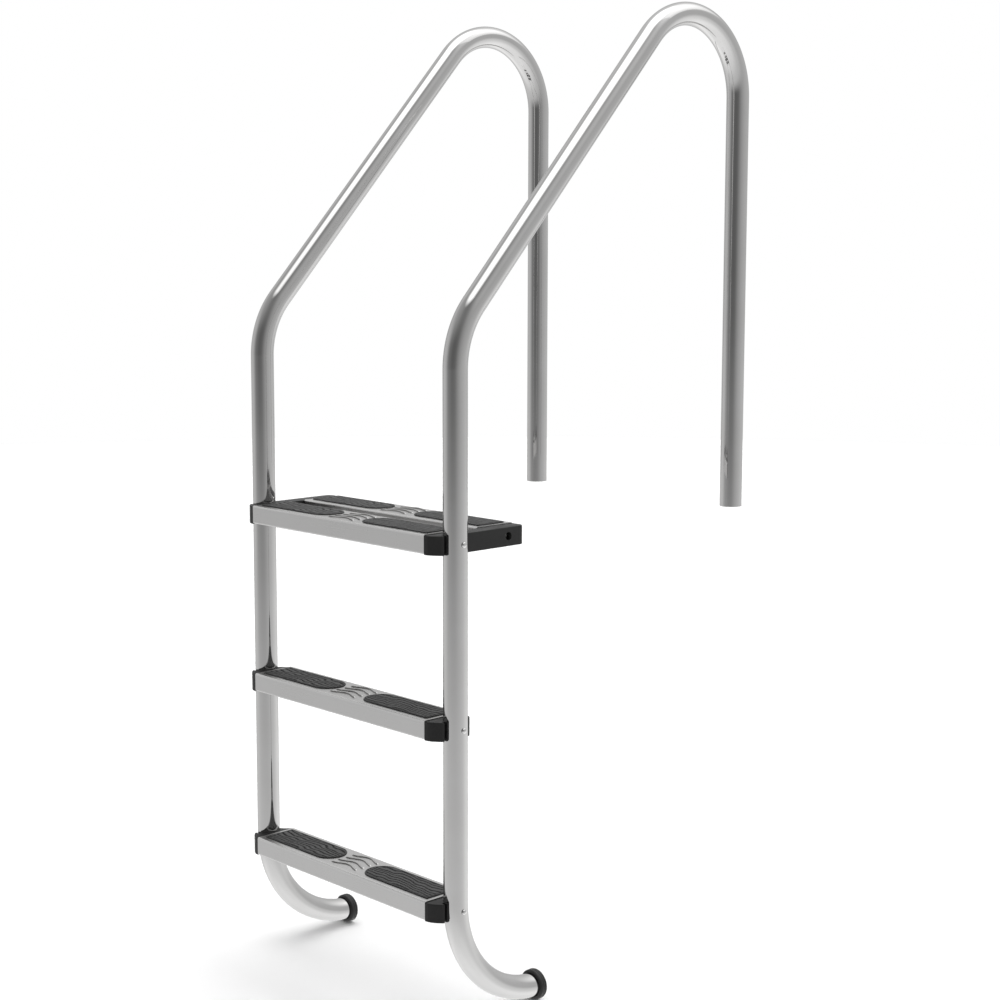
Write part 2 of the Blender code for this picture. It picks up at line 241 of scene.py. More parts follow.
def block(name, low, high):
    """Cutter or hidden block."""
    (a, b, c), (d, e, f) = low, high
    v = [(x, y, z) for x in (a, d) for y in (b, e) for z in (c, f)]
    q = [(0, 1, 3, 2), (4, 6, 7, 5), (0, 4, 5, 1), (2, 3, 7, 6), (0, 2, 6, 4), (1, 5, 7, 3)]
    return fix_normals(new_object(name, v, q))


# ------------------------------------------------------------------ rails
def make_rail(side, k):
    n = 64
    x = k * RAIL_X
    holes = [STEP_Z[s] + SCREW_Z for s in STEPS]
    extra = [h + d for h in holes for d in (-0.012, -0.0045, 0.0045, 0.012)]
    line = rail_line(extra=extra)
    last = len(line) - 1
    e = 0.00045
    ri = TUBE_R - WALL
    outer = [(0, TUBE_R - e, 0.0), (0, TUBE_R - e * 0.3, e * 0.3), (0, TUBE_R, e), (0, TUBE_R, e + 0.0006)]
    outer += [(i, TUBE_R, 0.0) for i in range(1, last)]
    outer += [(last, TUBE_R, -e - 0.0006), (last, TUBE_R, -e), (last, TUBE_R - e * 0.3, -e * 0.3), (last, TUBE_R - e, 0.0)]
    inner = [(last, ri + e, 0.0), (last, ri, -e), (last, ri, -e - 0.0006)]
    inner += [(i, ri, 0.0) for i in range(last - 1, 0, -1)]
    inner += [(0, ri, e + 0.0006), (0, ri, e), (0, ri + e, 0.0)]
    rings = tube_rings(x, line, outer + inner, n)
    o = new_object("rail_%s_tube" % side, np.vstack(rings), ring_faces(len(rings), n), 40)
    fix_normals(o)
    # metres along the tube, for the polishing marks
    s_of = [line[i][4] + d for i, r, d in outer + inner]
    me = o.data
    at = me.attributes.new("along", 'FLOAT', 'POINT')
    co = np.zeros(len(me.vertices) * 3)
    me.vertices.foreach_get("co", co)
    co = co.reshape(-1, 3)
    ly = np.array([(p[0], p[1]) for p in line])
    ls = np.array([p[4] for p in line])
    # nearest point on the polyline gives the length along it
    best = np.full(len(co), 1e9)
    along = np.zeros(len(co))
    for i in range(last):
        a, b = ly[i], ly[i + 1]
        d = b - a
        L2 = float(d @ d)
        t = np.clip(((co[:, 1:] - a) @ d) / L2, 0, 1)
        q = a + t[:, None] * d
        dist = ((co[:, 1:] - q) ** 2).sum(1)
        m = dist < best
        best[m] = dist[m]
        along[m] = ls[i] + t[m] * math.sqrt(L2)
    at.data.foreach_set("value", along.astype(np.float32))
    cutters = [cylinder_x("hole", SHANK_R + GAP, x - 0.03, x + 0.03, STILE_Y, h) for h in holes]
    cut(o, cutters, smooth_angle=40)
    return o


# ------------------------------------------------------------------ channels
RIPPLE_MID = [0.0731, 0.0577, 0.0411, 0.0262]   # depth of each bar at the middle, from the front face


def ripple(x, d):
    """Height of the four pressed bars between the pads: each a shallow wave across the step."""
    h = np.zeros_like(x)
    for i, dm in enumerate(RIPPLE_MID):
        c = dm - 0.0048 * (1 - np.cos(2 * math.pi * x / 0.066))
        half = 0.0345 - 0.0015 * (i % 2)
        fade = np.clip((half - np.abs(x)) / 0.0030, 0, 1)
        fade = fade * fade * (3 - 2 * fade)
        wall = np.clip((0.0024 - np.abs(d - c)) / 0.0010, 0, 1)      # flat crest, steep pressed sides
        h = h + 0.0018 * fade * wall * wall * (3 - 2 * wall)
    return h


def painted_crease_shade(x, d):
    """1 at the foot of each bar's wall, where a thin dark line of painted shade goes, 0 elsewhere."""
    out = np.zeros_like(x)
    for i, dm in enumerate(RIPPLE_MID):
        c = dm - 0.0048 * (1 - np.cos(2 * math.pi * x / 0.066))
        half = 0.0345 - 0.0015 * (i % 2)
        near = np.clip(1.2 - np.abs(np.abs(d - c) - 0.0022) / 0.0008, 0, 1)
        out = np.maximum(out, near * np.clip((half + 0.0005 - np.abs(x)) / 0.0015, 0, 1))
    return out


def make_channel(label):
    z, y = CHANNELS[label]
    n_fold = 6
    top_d = [0.0031, 0.0080, 0.0120] + list(np.arange(0.0140, 0.0775, 0.0005)) + [0.0789]

    def side(inset):
        r = max(FOLD_R - inset, 0.0004)
        a, b = inset, STEP_DEPTH - inset
        lo, hi = inset, STEP_H - inset
        g = 0.0004
        pts = [(LIP, lo)]
        pts += arc_pts(a + r, lo + r, r, -math.pi / 2, -math.pi, n_fold)
        pts += [(a, lo + r + g), (a, hi - r - g)]
        pts += arc_pts(a + r, hi - r, r, math.pi, math.pi / 2, n_fold)
        pts += [(float(d), hi) for d in top_d]
        pts += arc_pts(b - r, hi - r, r, math.pi / 2, 0.0, n_fold)
        pts += [(b, hi - r - g), (b, lo + r + g)]
        pts += arc_pts(b - r, lo + r, r, 0.0, -math.pi / 2, n_fold)
        pts += [(STEP_DEPTH - LIP, lo)]
        return pts

    outer, inner = side(0.0), side(SHEET)
    sect = outer + inner[::-1]
    n = len(sect)
    d = np.array([p[0] for p in sect])
    h = np.array([p[1] for p in sect])
    top = (h > STEP_H - SHEET - 1e-6) & (d > 0.008) & (d < STEP_DEPTH - 0.0045)
    e = 0.0002
    xs = [-STEP_HALF, -STEP_HALF + e, -0.0385]
    xs += list(np.arange(-0.0370, 0.03701, 0.0010))
    xs += [0.0385, STEP_HALF - e, STEP_HALF]
    rings = []
    for x in xs:
        r = np.zeros((n, 3))
        r[:, 0] = x
        r[:, 1] = y + d
        r[:, 2] = z + h + np.where(top, ripple(np.full(n, x), d), 0.0)
        rings.append(r)
    verts = np.vstack(rings)
    faces = ring_faces(len(rings), n, closed=False)
    m = len(outer)

    # end faces: the thickness of the sheet as a strip of quads
    def strip(base, flip):
        out = []
        for i in range(m - 1):
            q = (base + i, base + i + 1, base + n - 2 - i, base + n - 1 - i)
            out.append(q[::-1] if flip else q)
        return out
    faces += strip(0, True) + strip((len(rings) - 1) * n, False)
    o = new_object("step_%s_channel" % label, verts, faces)
    fix_normals(o)
    me = o.data
    co = np.zeros(len(me.vertices) * 3)
    me.vertices.foreach_get("co", co)
    co = co.reshape(-1, 3)
    vd, vh = co[:, 1] - y, co[:, 2] - z
    upper = vh > STEP_H - 0.0001
    # painted shade mask: the dark line round each pressed bar, read by the step material
    at = me.attributes.new("painted_crease_shade", 'FLOAT', 'POINT')
    at.data.foreach_set("value", np.where(upper, painted_crease_shade(co[:, 0], vd), 0.0).astype(np.float32))
    # top folds: burnished (lower roughness) and given a painted highlight (paler base colour)
    fold = (vh > STEP_H - FOLD_R - 0.0001) & ((vd < FOLD_R + 0.0001) | (vd > STEP_DEPTH - FOLD_R - 0.0001))
    at = me.attributes.new("burnish_and_painted_highlight", 'FLOAT', 'POINT')
    at.data.foreach_set("value", fold.astype(np.float32))
    cutters = []
    for s, k in SIDES.items():
        outline = pad_outline(k, y, GAP, 24)
        cutters.append(prism("opening", outline, z + STEP_H - 0.004, z + STEP_H + 0.004))
    return cut(o, cutters, smooth_angle=58)


def pad_outline(sign, y_front, grow=0.0, n=24):
    r = PAD_WIDTH / 2 + grow
    yc = y_front + PAD_FRONT + PAD_WIDTH / 2
    xc = PAD_IN + PAD_WIDTH / 2
    xo = PAD_OUT + grow
    c = 0.0030
    pts = arc_pts(xo - c, yc + r - c, c, 0.0, math.pi / 2, 5)
    pts += arc_pts(xc, yc, r, math.pi / 2, 3 * math.pi / 2, n)
    pts += arc_pts(xo - c, yc - r + c, c, -math.pi / 2, 0.0, 5)
    pts = [(sign * x, y) for x, y in pts]
    return pts if sign > 0 else pts[::-1]


def prism(name, outline, z0, z1):
    n = len(outline)
    v = [(x, y, z) for z in (z0, z1) for x, y in outline]
    f = ring_faces(2, n, closed=False) + [tuple(range(n - 1, -1, -1)), tuple(range(n, 2 * n))]
    return fix_normals(new_object(name, v, f))


# ------------------------------------------------------------------ pads
RIB_PITCH = 0.0082
PAD_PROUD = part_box("pad_middle_left")[1].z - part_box("step_middle")[1].z


def make_pad(label, side, k):
    """Non-slip pad: smooth border, a moat, then long wavy ribs as if poured."""
    z, y = CHANNELS[label]
    base = z + STEP_H
    proud = PAD_PROUD
    yc = y + PAD_FRONT + PAD_WIDTH / 2
    r = PAD_WIDTH / 2
    xc = PAD_IN + r
    # columns: closer together round the half-round end
    t = np.linspace(0, math.pi / 2, 22)
    cols = list(xc - r * np.cos(t * 0.985 + 0.015 * math.pi / 2))
    cols += list(np.arange(xc + 0.0022, PAD_OUT - 0.0034, 0.0022))
    cols += [PAD_OUT - 0.0030, PAD_OUT - 0.0020, PAD_OUT - 0.0010, PAD_OUT - 0.0004, PAD_OUT]
    cols = np.array(cols)
    u = np.linspace(-1, 1, 81)
    X, U = np.meshgrid(cols, u, indexing='ij')
    half = np.where(X < xc, np.sqrt(np.maximum(r * r - (xc - X) ** 2, 1e-8)), r)
    corner = np.clip((X - (PAD_OUT - 0.003)) / 0.003, 0, 1)
    half = half - 0.003 * (1 - np.sqrt(np.maximum(1 - corner ** 2, 0)))
    Y = U * half
    # distance to the edge
    dist = np.minimum(half - np.abs(Y), PAD_OUT - X)
    rad = np.hypot(X - xc, Y)
    dist = np.where(X < xc, r - rad, dist)
    # ribs run along the step and wander like contour lines round a smooth oval
    ox, oy = PAD_IN + 0.034, 0.004
    pull = np.exp(-(((X - ox) / 0.030) ** 2 + ((Y - oy) / 0.018) ** 2))
    wander = (0.0034 * np.sin(2 * math.pi * (X - 0.03) / 0.122 + 1.5 * Y / r)
              + 0.0013 * np.sin(2 * math.pi * X / 0.052 + 2.2 + 2.8 * Y / r)
              + 0.0008 * np.sin(2 * math.pi * X / 0.031 + 1.0 + 4.6 * Y / r)
              + 0.0014 * np.sin(2 * math.pi * Y / 0.037 + 0.7 + 9.0 * X)
              + 0.0050 * pull * np.sign(Y - oy) * (1 - np.exp(-np.abs(Y - oy) / 0.004)))
    phase = 2 * math.pi * (Y + wander) / RIB_PITCH
    wave = 0.5 + 0.5 * np.cos(phase)
    rib = np.clip((wave - 0.05) / 0.22, 0, 1)
    rib = rib * rib * (3 - 2 * rib)
    inner = np.clip((dist - 0.0030) / 0.0014, 0, 1)
    inner = inner * inner * (3 - 2 * inner)
    rim = np.clip(dist / 0.0009, 0, 1)
    rim = np.sqrt(1 - (1 - rim) ** 2)
    groove = 0.0017 * inner * (1 - rib)
    border = np.exp(-((dist - 0.0026) / 0.0006) ** 2)
    Z = base + proud * rim - 0.0002 * (1 - rim) - groove - 0.0007 * border
    verts = [(k * a, yc + b, c) for a, b, c in zip(X.ravel(), Y.ravel(), Z.ravel())]
    nu, nc = len(u), len(cols)
    faces = []
    for i in range(nc - 1):
        for j in range(nu - 1):
            faces.append((i * nu + j, (i + 1) * nu + j, (i + 1) * nu + j + 1, i * nu + j + 1))
    # edge loop, walls down to the flange, the flange and the underside
    loop = [i * nu for i in range(nc)] + [(nc - 1) * nu + j for j in range(1, nu)]
    loop += [i * nu + nu - 1 for i in range(nc - 2, -1, -1)] + [j for j in range(nu - 2, 0, -1)]
    P = np.array([verts[i] for i in loop])
    cx, cy = P[:, 0].mean(), yc
    nl = len(loop)
    deep = 0.0045
    flange = 0.0020

    def grown(g, zz):
        q = P.copy()
        dx, dy = q[:, 0] - k * np.clip(np.abs(q[:, 0]), xc, PAD_OUT - 0.003), q[:, 1] - yc
        # outward direction: round the inner end, square elsewhere
        nx = np.where(np.abs(q[:, 0]) < xc, k * (np.abs(q[:, 0]) - xc), np.where(np.abs(q[:, 0]) > PAD_OUT - 0.0031, k * 1.0 * np.clip((np.abs(q[:, 0]) - (PAD_OUT - 0.0031)) / 0.003, 0, 1), 0))
        ny = np.where(np.abs(q[:, 0]) < xc, dy, np.sign(dy) * np.where((np.abs(q[:, 0]) > PAD_OUT - 1e-6) & (np.abs(dy) < r - 0.0031), 0, 1))
        ln = np.hypot(nx, ny)
        ln[ln == 0] = 1
        q[:, 0] += g * nx / ln
        q[:, 1] += g * ny / ln
        q[:, 2] = zz
        return q
    layers = [grown(0.0, base - SHEET - GAP), grown(flange, base - SHEET - GAP), grown(flange, base - SHEET - GAP - 0.002),
              grown(0.0, base - SHEET - GAP - 0.002), grown(0.0, base - deep)]
    start = len(verts)
    for q in layers:
        verts += [tuple(p) for p in q]
    prev = loop
    for li in range(len(layers)):
        cur = list(range(start + li * nl, start + (li + 1) * nl))
        for a in range(nl):
            b = (a + 1) % nl
            faces.append((prev[a], prev[b], cur[b], cur[a]))
        prev = cur
    faces.append(tuple(prev))
    o = new_object("pad_%s_%s_ribbed" % (label, side), verts, faces, 50)
    fix_normals(o)
    o.data.shade_smooth()
    o.data.set_sharp_from_angle(angle=math.radians(50))
    return o


# ------------------------------------------------------------------ end mouldings
def fillet(pts, radii, n=6):
    """Closed outline with each corner rounded by its own radius."""
    out = []
    m = len(pts)
    for i in range(m):
        p0, p1, p2 = (np.array(pts[(i + j) % m], float) for j in (-1, 0, 1))
        r = radii[i]
        a, b = p0 - p1, p2 - p1
        la, lb = np.linalg.norm(a), np.linalg.norm(b)
        a, b = a / la, b / lb
        c = float(np.clip(a @ b, -1, 1))
        ang = math.acos(c)
        if r <= 0 or ang > math.pi - 0.02:
            out.append(tuple(p1))
            continue
        d = min(r / math.tan(ang / 2), 0.48 * la, 0.48 * lb)
        rr = d * math.tan(ang / 2)
        bis = (a + b) / np.linalg.norm(a + b)
        cen = p1 + bis * rr / math.sin(ang / 2)
        s, t = p1 + a * d - cen, p1 + b * d - cen
        a0, a1 = math.atan2(s[1], s[0]), math.atan2(t[1], t[0])
        da = (a1 - a0 + math.pi) % (2 * math.pi) - math.pi
        for j in range(n + 1):
            an = a0 + da * j / n
            out.append((cen[0] + rr * math.cos(an), cen[1] + rr * math.sin(an)))
    return out


def area(pts):
    return 0.5 * sum(a[0] * b[1] - b[0] * a[1] for a, b in zip(pts, pts[1:] + pts[:1]))


def inset_loop(pts, d):
    """The outline moved inwards by d, along mitred normals (counter-clockwise outline)."""
    n = len(pts)
    out = []
    for i in range(n):
        p0, p1, p2 = (np.array(pts[(i + j) % n]) for j in (-1, 0, 1))
        e0, e1 = p1 - p0, p2 - p1
        e0, e1 = e0 / (np.linalg.norm(e0) + 1e-12), e1 / (np.linalg.norm(e1) + 1e-12)
        n0, n1 = np.array([-e0[1], e0[0]]), np.array([-e1[1], e1[0]])
        m = n0 + n1
        m = m / (np.linalg.norm(m) + 1e-12)
        f = 1 / max(0.5, float(m @ n0))
        out.append(tuple(p1 + m * d * f))
    return out


def rounded_prism(name, outline, z0, z1, r_top, r_bot, n=4):
    """Outline with rounded upper and lower edges."""
    if area(outline) < 0:
        outline = outline[::-1]
    rings = []
    for i in range(n + 1):
        a = math.pi / 2 * i / n
        rings.append((inset_loop(outline, r_bot * (1 - math.sin(a))), z0 + r_bot * (1 - math.cos(a))))
    rings += [(outline, z0 + r_bot + 0.0004), (outline, z1 - r_top - 0.0004)]
    for i in range(n + 1):
        a = math.pi / 2 * i / n
        rings.append((inset_loop(outline, r_top * (1 - math.cos(a))), z1 - r_top * (1 - math.sin(a))))
    m = len(outline)
    v = [(x, y, z) for loop, z in rings for x, y in loop]
    f = ring_faces(len(rings), m, closed=False)
    f += [tuple(range(m - 1, -1, -1)), tuple((len(rings) - 1) * m + i for i in range(m))]
    return fix_normals(new_object(name, v, f))


NOSE_R = [0.0, 0.020, 0.020, 0.020, 0.010, 0.006]     # every bend wider than the edge rounding


def cap_front_pts():
    f = FRONT_Y
    return [(STEP_HALF + GAP, f), (0.2320, f + 0.0007), (0.2390, f + 0.0037), (0.2455, f + 0.0085),
            (0.2515, f + 0.0137), (CAP_OUT, f + 0.0170)]


def make_moulding(name, outline, k, s, z, fronts, fixings):
    outline = [(k * x, y) for x, y in outline]
    body = rounded_prism(name, outline, z - CAP_DROP, z + STEP_H - CAP_LOW, 0.0014, 0.0010)
    x0, x1 = sorted((k * TONGUE_IN, k * (STEP_HALF + 0.0030)))
    unions = []
    for front in fronts:
        y0, y1 = front + SHEET + 0.0008, front + STEP_DEPTH - SHEET - 0.0008
        unions.append(block("tongue", (x0, y0, z + SHEET + 0.0008), (x1, y1, z + STEP_H - TONGUE_TOP)))
    cut(body, unions, 'UNION')
    line = [p for p in rail_line() if p[1] < z + 0.12 and p[0] < STILE_Y + 0.08]
    if z > 0.3:
        line = [(STILE_Y, z + 0.05, 0.0, -1.0, 0.0), (STILE_Y, z - 0.03, 0.0, -1.0, 0.08)]
    else:
        line = [(STILE_Y, z + 0.05, 0.0, -1.0, 0.0)] + [p for p in line if p[1] < z + 0.045]
    cutters = [solid_tube("saddle", k * RAIL_X, line, TUBE_R + GAP, 96)]
    slot = saddle_slot()
    cutters.append(prism("slot", [(k * x, y) for x, y in slot], z - 0.01, z + STEP_H + 0.01))
    for fy, recessed in fixings:
        zc = z + SCREW_Z
        cutters.append(cylinder_x("bore", SHANK_R + GAP, k * 0.19, k * 0.27, fy, zc))
        hw = NUT_AF / 2 + GAP
        corner = NUT_AF / math.sqrt(3) + GAP
        xs = sorted((k * (TONGUE_IN - 0.01), k * (NUT_X + NUT_T + GAP)))
        cutters.append(block("pocket", (xs[0], fy - hw, zc - corner), (xs[1], fy + hw, zc + corner)))
        if recessed:
            cutters.append(cylinder_x("recess", RECESS_R, k * (CAP_OUT - RECESS_DEPTH), k * (CAP_OUT + 0.01), fy, zc, 48))
    cut(body, cutters)
    return body


SADDLE_T = 0.0018
SLOT_IN, SLOT_FRONT = 0.2461, 0.0174


def saddle_slot():
    """Open slot that leaves a thin saddle on the rail, behind the moulding's nose."""
    r = TUBE_R + SADDLE_T
    a0 = -math.acos((SLOT_IN - RAIL_X) / r)
    a1 = -math.acos((CAP_OUT + 0.004 - RAIL_X) / r)
    saddle = arc_pts(RAIL_X, STILE_Y, r, a0, a1, 8)
    f = FRONT_Y + SLOT_FRONT
    c = 0.0011
    inner = [(CAP_OUT + 0.004, f), (SLOT_IN + c, f), (SLOT_IN + c * 0.3, f + c * 0.3), (SLOT_IN, f + c)]
    return inner + saddle


def cap_outline(long_horn):
    b = FRONT_Y + STEP_DEPTH
    nose = cap_front_pts()
    if long_horn:
        rest = [(CAP_OUT, STILE_Y + 0.0275), (0.2500, STILE_Y + 0.0310), (0.2340, b - 0.0012), (STEP_HALF + GAP, b)]
        rad = [0.0018, 0.0018, 0.0022, 0.0]
    else:
        rest = [(CAP_OUT, STILE_Y - 0.004), (0.2460, STILE_Y + 0.004), (0.2460, STILE_Y + 0.0180), (0.2290, b - 0.0020), (STEP_HALF + GAP, b)]
        rad = [0.0024, 0.0024, 0.0024, 0.0026, 0.0]
    return fillet(nose + rest, NOSE_R + rad)


def plate_outline():
    e = REAR_FRONT_Y + STEP_DEPTH
    rest = [(CAP_OUT, e), (STEP_HALF + GAP, e)]
    return fillet(cap_front_pts() + rest, NOSE_R + [0.0115, 0.0], 10)


# ------------------------------------------------------------------ bumpers
def make_bumper(side, k):
    n = 96
    x = k * RAIL_X
    L = BUMPER_Y1 - BUMPER_Y0
    line = rail_line()
    ys = np.array([p[0] for p in line if p[0] < STILE_Y + 0.19 and p[1] < AXIS_Z + 0.05])
    zs = np.array([p[1] for p in line if p[0] < STILE_Y + 0.19 and p[1] < AXIS_Z + 0.05])
    order = np.argsort(ys)
    end_y = float(ys.max())

    def centre_z(y):
        return float(np.interp(y, ys[order], zs[order]))
    rb = TUBE_R + GAP
    prof = []                                     # (radius, y, centre height)
    y0, y1 = BUMPER_Y0, BUMPER_Y1
    # bore, from the bottom of the socket out to the front
    prof += [(0.0005, end_y + GAP, AXIS_Z), (rb, end_y + GAP, AXIS_Z + (centre_z(end_y) - AXIS_Z))]
    for y in np.linspace(end_y, y0 + 0.0006, 6):
        prof.append((rb, float(y), centre_z(float(y))))
    prof.append((rb + 0.0005, y0, centre_z(y0)))
    # front lip, rounded
    e = 0.0034
    for a in np.linspace(0, math.pi / 2, 6):
        prof.append((BUMPER_R - e + e * math.sin(a), y0 + e - e * math.cos(a), AXIS_Z))
    # outside with two faint grip grooves
    for yg in (0.36, 0.60):
        c = y0 + L * yg
        for dy, dr in ((-0.0007, 0), (-0.0003, 0.00035), (0.0003, 0.00035), (0.0007, 0)):
            prof.append((BUMPER_R - dr, c + dy, AXIS_Z))
    e = 0.0042
    for a in np.linspace(0, math.pi / 2, 8):
        prof.append((BUMPER_R - e + e * math.cos(a), y1 - e + e * math.sin(a), AXIS_Z))
    # flat contact ring round a shallow dish
    prof += [(0.0150, y1, AXIS_Z), (0.0143, y1 - 0.0003, AXIS_Z), (0.0135, y1 - 0.0007, AXIS_Z),
             (0.0060, y1 - 0.0009, AXIS_Z), (0.0005, y1 - 0.0009, AXIS_Z)]
    th = np.arange(n) * 2 * math.pi / n
    rings = [np.stack([x + r * np.cos(th), np.full(n, y), zc + r * np.sin(th)], 1) for r, y, zc in prof]
    faces = ring_faces(len(rings), n, closed=False)
    faces += [tuple(range(n - 1, -1, -1)), tuple((len(rings) - 1) * n + i for i in range(n))]
    return fix_normals(new_object("bumper_%s_rubber" % side, np.vstack(rings), faces, 50))


# ------------------------------------------------------------------ fixings
def hex_radius(th, flats):
    a = (th % (math.pi / 3)) - math.pi / 6
    return flats / 2 / np.cos(a)


def turned_x(name, rings_spec, origin, k, n=48):
    """Rings of (radius or array of radii, height outwards), about an axis along +-X."""
    th = np.arange(n) * 2 * math.pi / n
    rings = []
    for r, h in rings_spec:
        rr = r if isinstance(r, np.ndarray) else np.full(n, r)
        hh = h if isinstance(h, np.ndarray) else np.full(n, h)
        rings.append(np.stack([origin[0] + k * hh, origin[1] + rr * np.cos(th), origin[2] + rr * np.sin(th)], 1))
    faces = ring_faces(len(rings), n, closed=False)
    faces += [tuple(range(n - 1, -1, -1)), tuple((len(rings) - 1) * n + i for i in range(n))]
    return fix_normals(new_object(name, np.vstack(rings), faces, 32))


def make_screw(name, origin, k, head_r, head_h, length, socket):
    """Domed screw, plain or with a hexagon socket; the shank carries a rolled thread near its end."""
    n = 48
    th = np.arange(n) * 2 * math.pi / n
    sock = hex_radius(th, 0.0020)
    rim_h = 0.0004
    spec = [(0.0001, head_h - 0.0013), (sock * 0.97, head_h - 0.0011), (sock, head_h - 0.0001), (sock + 0.00012, head_h)]
    r0 = float(sock.max()) + 0.0002
    if not socket:
        spec, r0 = [(0.0001, head_h)], 0.0004
    for t in np.linspace(math.asin(min(0.95, r0 / head_r)), math.pi / 2, 11):
        spec.append((head_r * math.sin(t), rim_h + (head_h - rim_h) * (math.cos(t) / math.cos(math.asin(min(0.95, r0 / head_r))))))
    spec += [(head_r, 0.0001), (head_r - 0.0001, 0.0), (SHANK_R, 0.0)]
    h = -0.018
    while h > -length + 0.0018:                   # thread crests and roots
        spec += [(SHANK_R, h), (SHANK_R - 0.00035, h - 0.0005)]
        h -= 0.0010
    spec += [(SHANK_R - 0.0004, -length + 0.0004), (SHANK_R - 0.0010, -length), (0.0001, -length)]
    return turned_x(name, spec, origin, k, n)


def make_nut(name, x, y, z, k):
    n = 48
    th = np.arange(n) * 2 * math.pi / n
    hexa = hex_radius(th + math.pi / 6, NUT_AF)
    rc = NUT_AF / 2 * 0.985
    t = NUT_T / 2
    drop = (hexa - rc) * math.tan(math.radians(30))
    rb = SHANK_R + GAP
    half = [(rb, 0.0), (rb, t - 0.0004), (rb + 0.0004, t), (rc - 0.0001, t), (hexa, t - drop)]
    rings = half + [(r, -h if not isinstance(h, np.ndarray) else -h) for r, h in half[::-1][:-1]]
    pts = []
    for r, h in rings:
        rr = r if isinstance(r, np.ndarray) else np.full(n, r)
        hh = h if isinstance(h, np.ndarray) else np.full(n, h)
        pts.append(np.stack([x + hh, y + rr * np.cos(th), z + rr * np.sin(th)], 1))
    return fix_normals(new_object(name, np.vstack(pts), ring_faces(len(pts), n), 30))


# ------------------------------------------------------------------ materials
class Nodes:
    def __init__(self, name):
        self.mat = bpy.data.materials.new(name)
        self.mat.use_nodes = True
        self.t = self.mat.node_tree
        self.bsdf = self.t.nodes["Principled BSDF"]

    def n(self, kind, **inputs):
        node = self.t.nodes.new(kind)
        for k_, v in inputs.items():
            node.inputs[k_.replace('_', ' ')].default_value = v
        return node

    def link(self, a, b):
        self.t.links.new(a, b)

    def coords(self):
        return self.t.nodes.new("ShaderNodeTexCoord").outputs["Object"]

    def noise(self, vec, scale, detail=3.0, rough=0.55, stretch=None):
        if stretch is not None:
            mp = self.t.nodes.new("ShaderNodeMapping")
            mp.inputs["Scale"].default_value = stretch
            self.link(vec, mp.inputs["Vector"])
            vec = mp.outputs["Vector"]
        nz = self.t.nodes.new("ShaderNodeTexNoise")
        nz.inputs["Scale"].default_value = scale
        nz.inputs["Detail"].default_value = detail
        nz.inputs["Roughness"].default_value = rough
        self.link(vec, nz.inputs["Vector"])
        return nz.outputs["Fac"]

    def remap(self, fac, lo, hi, a=0.3, b=0.7):
        m = self.t.nodes.new("ShaderNodeMapRange")
        m.inputs["From Min"].default_value = a
        m.inputs["From Max"].default_value = b
        m.inputs["To Min"].default_value = lo
        m.inputs["To Max"].default_value = hi
        self.link(fac, m.inputs["Value"])
        return m.outputs["Result"]

    def math(self, op, a, b):
        m = self.t.nodes.new("ShaderNodeMath")
        m.operation = op
        for i, v in enumerate((a, b)):
            if isinstance(v, (int, float)):
                m.inputs[i].default_value = v
            else:
                self.link(v, m.inputs[i])
        return m.outputs[0]

    def colours(self, fac, stops):
        r = self.t.nodes.new("ShaderNodeValToRGB")
        el = r.color_ramp.elements
        while len(el) < len(stops):
            el.new(0.5)
        for e, (p, c) in zip(el, stops):
            e.position = p
            e.color = (*c, 1.0)
        self.link(fac, r.inputs["Fac"])
        return r.outputs["Color"]

    def bump(self, height, distance, strength=1.0, prev=None):
        b = self.t.nodes.new("ShaderNodeBump")
        b.inputs["Distance"].default_value = distance
        b.inputs["Strength"].default_value = strength
        self.link(height, b.inputs["Height"])
        if prev is not None:
            self.link(prev, b.inputs["Normal"])
        return b.outputs["Normal"]


def grey(v, warm=0.0):
    return (v * (1 + warm), v, v * (1 - warm))


def polished_steel(name):
    """Tube polished to a mirror: faint rings left by the polishing belt, water haze, a few smudges."""
    m = Nodes(name)
    p = m.coords()
    at = m.t.nodes.new("ShaderNodeAttribute")
    at.attribute_name = "along"
    rings = m.t.nodes.new("ShaderNodeTexNoise")
    rings.noise_dimensions = '1D'
    rings.inputs["Scale"].default_value = 1900.0
    rings.inputs["Detail"].default_value = 4.0
    rings.inputs["Roughness"].default_value = 0.7
    m.link(at.outputs["Fac"], rings.inputs["W"])
    haze = m.noise(p, 9.0, 4.0, 0.6)
    smudge = m.noise(p, 38.0, 5.0, 0.65)
    r1 = m.remap(haze, 0.045, 0.070)
    r2 = m.remap(smudge, 0.0, 0.030, 0.50, 0.72)
    r3 = m.remap(rings.outputs["Fac"], -0.006, 0.012)
    m.link(m.math('ADD', m.math('ADD', r1, r2), r3), m.bsdf.inputs["Roughness"])
    m.link(m.colours(haze, [(0.30, grey(0.635, 0.008)), (0.70, grey(0.675, 0.004))]), m.bsdf.inputs["Base Color"])
    m.bsdf.inputs["Metallic"].default_value = 1.0
    m.bsdf.inputs["Specular Tint"].default_value = (0.70, 0.70, 0.70, 1.0)
    nrm = m.bump(rings.outputs["Fac"], 0.0000015)
    m.link(m.bump(m.noise(p, 26.0, 2.0), 0.000025, prev=nrm), m.bsdf.inputs["Normal"])
    return m.mat


